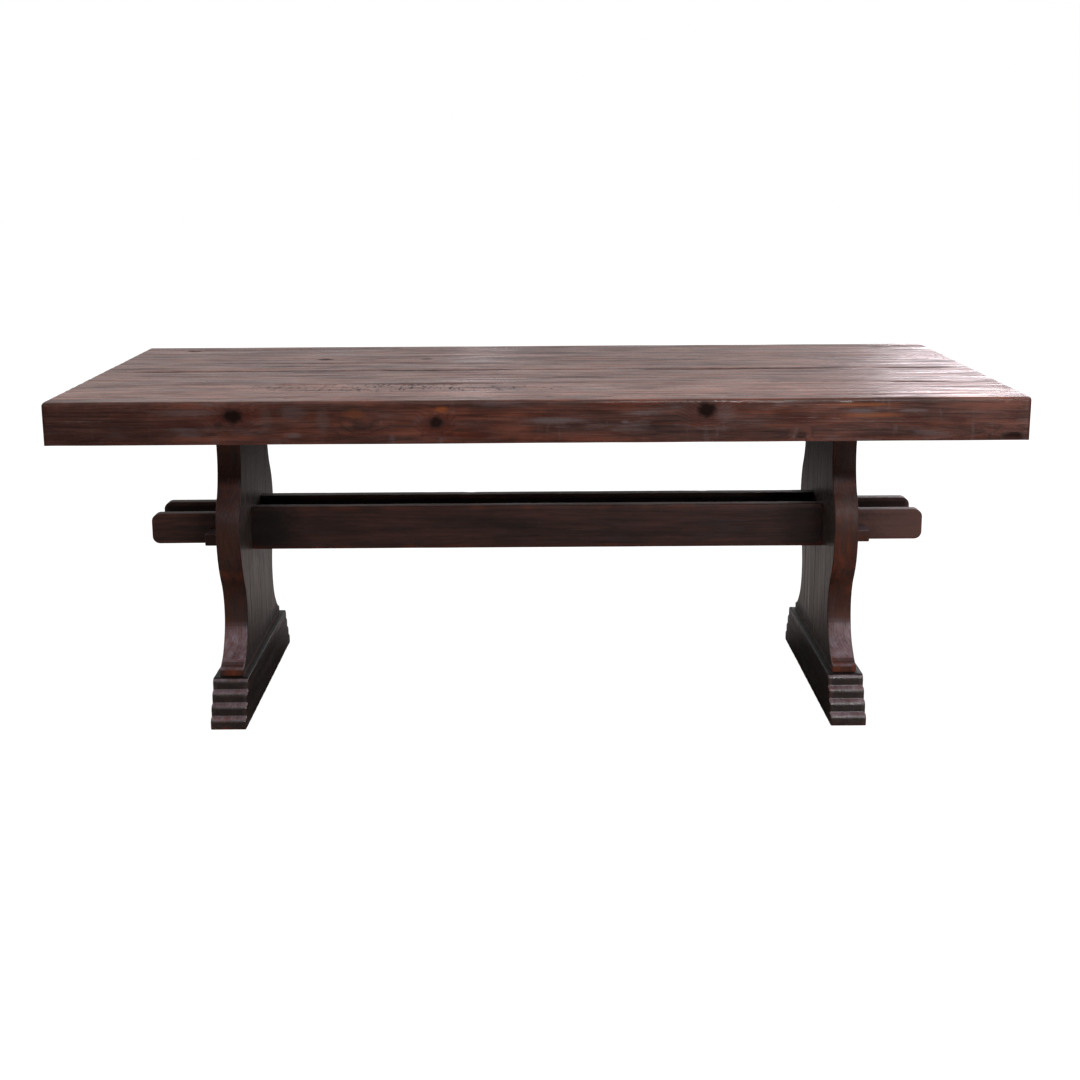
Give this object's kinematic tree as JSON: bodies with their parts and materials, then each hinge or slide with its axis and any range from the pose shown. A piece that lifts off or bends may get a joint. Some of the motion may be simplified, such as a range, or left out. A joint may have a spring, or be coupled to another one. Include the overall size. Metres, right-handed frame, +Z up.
{
  "type": "trestle dining table",
  "caption": "Long dining table with a thick planked top on two vase-shaped trestles with stepped sled feet, tied by twin rails and locked by drawn keys.",
  "frame": {"origin": "on the floor, under the middle of the top", "axes": "+X along the table's length, +Y towards its back, +Z up"},
  "size_m": [2.032, 1.016, 0.762],
  "materials": {
    "top_timber": "worn dark brown stain over knotty softwood, satin wax",
    "base_timber": "near-black espresso stain, satin, rubbed red-brown at the arrises",
    "plain_timber": "unfinished planed softwood",
    "zinc_steel": "bright zinc"
  },
  "bodies": {
    "root": {"back_edge_board": "top_timber", "back_middle_plank": "top_timber", "back_plank": "top_timber", "back_rail": "base_timber", "batten_screws": "zinc_steel", "bearer_pegs": "plain_timber", "bearer_screws": "zinc_steel", "corner_dowels": "plain_timber", "front_edge_board": "top_timber", "front_middle_plank": "top_timber", "front_plank": "top_timber", "front_rail": "base_timber", "lag_screws": "zinc_steel", "lag_washers": "zinc_steel", "left_back_inner_stave": "base_timber", "left_back_outer_stave": "base_timber", "left_batten": "plain_timber", "left_bearer": "plain_timber", "left_end_board": "top_timber", "left_foot": "base_timber", "left_front_inner_stave": "base_timber", "left_front_outer_stave": "base_timber", "middle_batten": "plain_timber", "plank_tongues": "plain_timber", "right_back_inner_stave": "base_timber", "right_back_outer_stave": "base_timber", "right_batten": "plain_timber", "right_bearer": "plain_timber", "right_end_board": "top_timber", "right_foot": "base_timber", "right_front_inner_stave": "base_timber", "right_front_outer_stave": "base_timber"},
    "left_key": {"left_key": "base_timber"},
    "right_key": {"right_key": "base_timber"}
  },
  "joints": [
    {"name": "left_key_draw", "type": "slide", "parent": "root", "child": "left_key", "axis": [0, -1, 0], "range_m": [0, 0.24]},
    {"name": "right_key_draw", "type": "slide", "parent": "root", "child": "right_key", "axis": [0, -1, 0], "range_m": [0, 0.24]}
  ]
}
